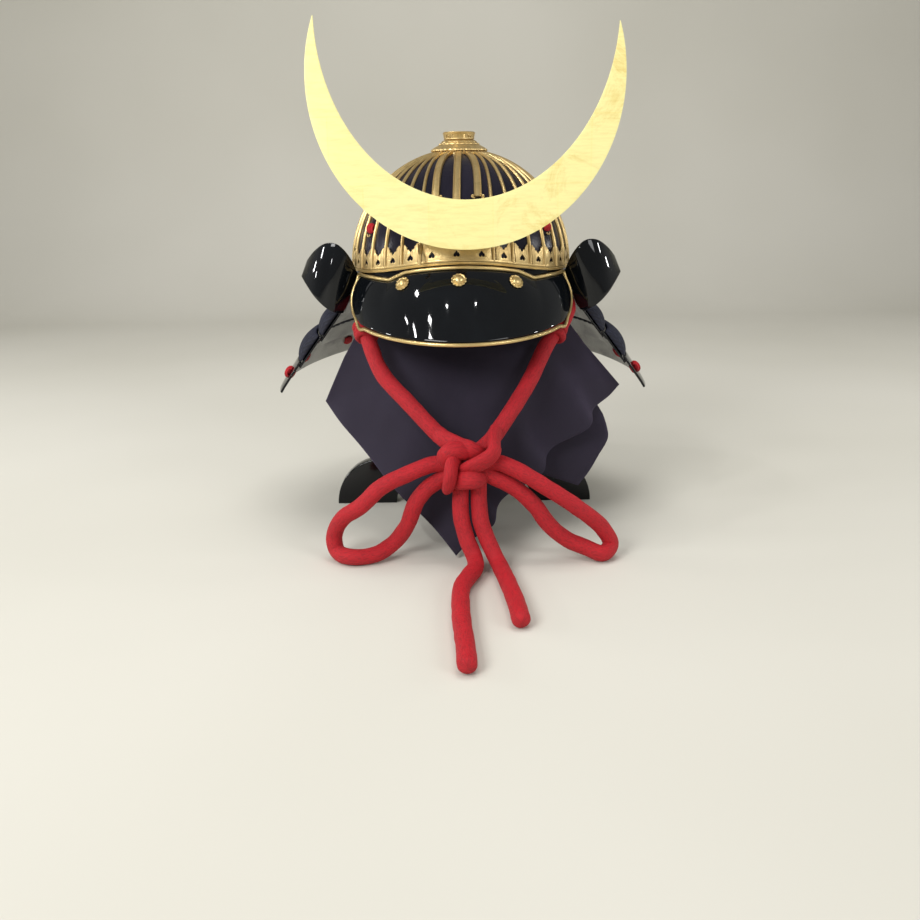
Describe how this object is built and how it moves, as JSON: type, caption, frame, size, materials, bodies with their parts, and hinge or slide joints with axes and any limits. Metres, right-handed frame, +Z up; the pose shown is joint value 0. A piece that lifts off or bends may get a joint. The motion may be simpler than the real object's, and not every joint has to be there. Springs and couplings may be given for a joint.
{
  "type": "kabuto samurai helmet on display stand",
  "caption": "Ribbed lacquer samurai helmet with a crescent crest, visor, laced neck guard and tied red cord, resting over a purple cloth on a black stand.",
  "frame": {"origin": "on the surface that the stand rests on, under the middle of the box round everything but the red cord", "axes": "+Z up from the surface to the crest's tips, -Y towards the front that the helmet faces, +X towards the right as seen from the front"},
  "size_m": [0.3812, 0.5663, 0.4669],
  "materials": {
    "lacquer": "deep glossy black lacquer",
    "gilt": "satin gilt metal",
    "gold_leaf": "pale brushed gold leaf",
    "navy_braid": "matt silk braid",
    "red_silk": "crinkled silk crepe",
    "purple_cloth": "matt woven cloth"
  },
  "bodies": {
    "root": {"bowl": "lacquer", "rib_cage": "gilt", "front_bar_left": "gilt", "front_bar_middle": "gilt", "front_bar_right": "gilt", "border": "gilt", "border_bead": "gilt", "crown_ornament": "gilt", "bowl_knot_1": "red_silk", "bowl_knot_2": "red_silk", "bowl_knot_3": "red_silk", "bowl_knot_4": "red_silk", "waist_band": "lacquer", "visor": "lacquer", "visor_edging": "gilt", "visor_rivet_left": "gilt", "visor_rivet_middle": "gilt", "visor_rivet_right": "gilt", "lame_top": "lacquer", "lame_second": "lacquer", "lame_third": "lacquer", "lame_lowest": "lacquer", "lacing_upper": "navy_braid", "lacing_lower": "navy_braid", "guard_knot_1": "red_silk", "guard_knot_2": "red_silk", "guard_knot_3": "red_silk", "guard_knot_4": "red_silk", "guard_knot_5": "red_silk", "guard_knot_6": "red_silk", "guard_knot_7": "red_silk", "guard_knot_8": "red_silk", "crest": "gold_leaf", "crest_post": "gilt", "stand_board_front": "lacquer", "stand_board_side": "lacquer", "head_block": "lacquer", "cloth": "purple_cloth", "chin_cord": "red_silk", "loop_left": "red_silk", "loop_right": "red_silk", "end_left": "red_silk", "end_right": "red_silk", "cord_tie": "red_silk"}
  },
  "joints": []
}
